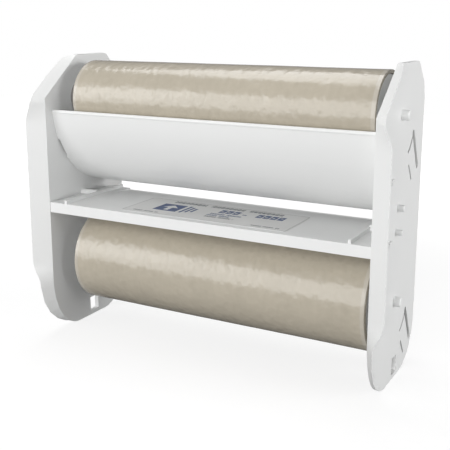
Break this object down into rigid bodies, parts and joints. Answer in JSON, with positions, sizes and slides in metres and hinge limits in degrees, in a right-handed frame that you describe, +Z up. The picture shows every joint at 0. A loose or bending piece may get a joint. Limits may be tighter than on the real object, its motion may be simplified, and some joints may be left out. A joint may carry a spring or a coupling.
{
  "type": "film roll cartridge",
  "caption": "Open-front cartridge with white end plates, a curved film shield and a feed tray between an upper and a lower film roll.",
  "frame": {"origin": "middle of the footprint, on the surface that the cartridge stands on", "axes": "+X along the roll axes to the right of someone facing the front, +Y towards the rear, +Z up"},
  "size_m": [0.2732, 0.0976, 0.2094],
  "materials": {
    "end_plate": "satin moulded white",
    "shield": "satin moulded white",
    "tray": "satin moulded white",
    "label": "printed film label",
    "film": "clear film wound over a tan core",
    "core_board": "wound paperboard",
    "hub": "moulded white",
    "felt": "pressed felt",
    "steel": "bright steel",
    "nylon": "natural nylon"
  },
  "bodies": {
    "frame": {"left_end_plate": "end_plate", "right_end_plate": "end_plate", "upper_film_shield": "shield", "feed_tray": "tray", "tray_label": "label", "upper_felt_washer": "felt", "lower_felt_washer": "felt", "upper_thrust_ring": "nylon", "lower_thrust_ring": "nylon"},
    "upper_roll": {"upper_film_winding": "film", "upper_core_tube": "core_board", "upper_left_hub": "hub", "upper_right_hub": "hub", "upper_spring_washer": "steel", "upper_drag_spring": "steel", "upper_left_stub_axle": "hub", "upper_right_stub_axle": "hub"},
    "lower_roll": {"lower_film_winding": "film", "lower_core_tube": "core_board", "lower_left_hub": "hub", "lower_right_hub": "hub", "lower_spring_washer": "steel", "lower_drag_spring": "steel", "lower_left_stub_axle": "hub", "lower_right_stub_axle": "hub"}
  },
  "joints": [
    {"name": "upper_roll_spin", "type": "hinge", "parent": "frame", "child": "upper_roll", "pos_m": [0, 0.00035, 0.1776], "axis": [1, 0, 0], "continuous": true},
    {"name": "lower_roll_spin", "type": "hinge", "parent": "frame", "child": "lower_roll", "pos_m": [0, 0.00185, 0.0555], "axis": [1, 0, 0], "continuous": true}
  ]
}
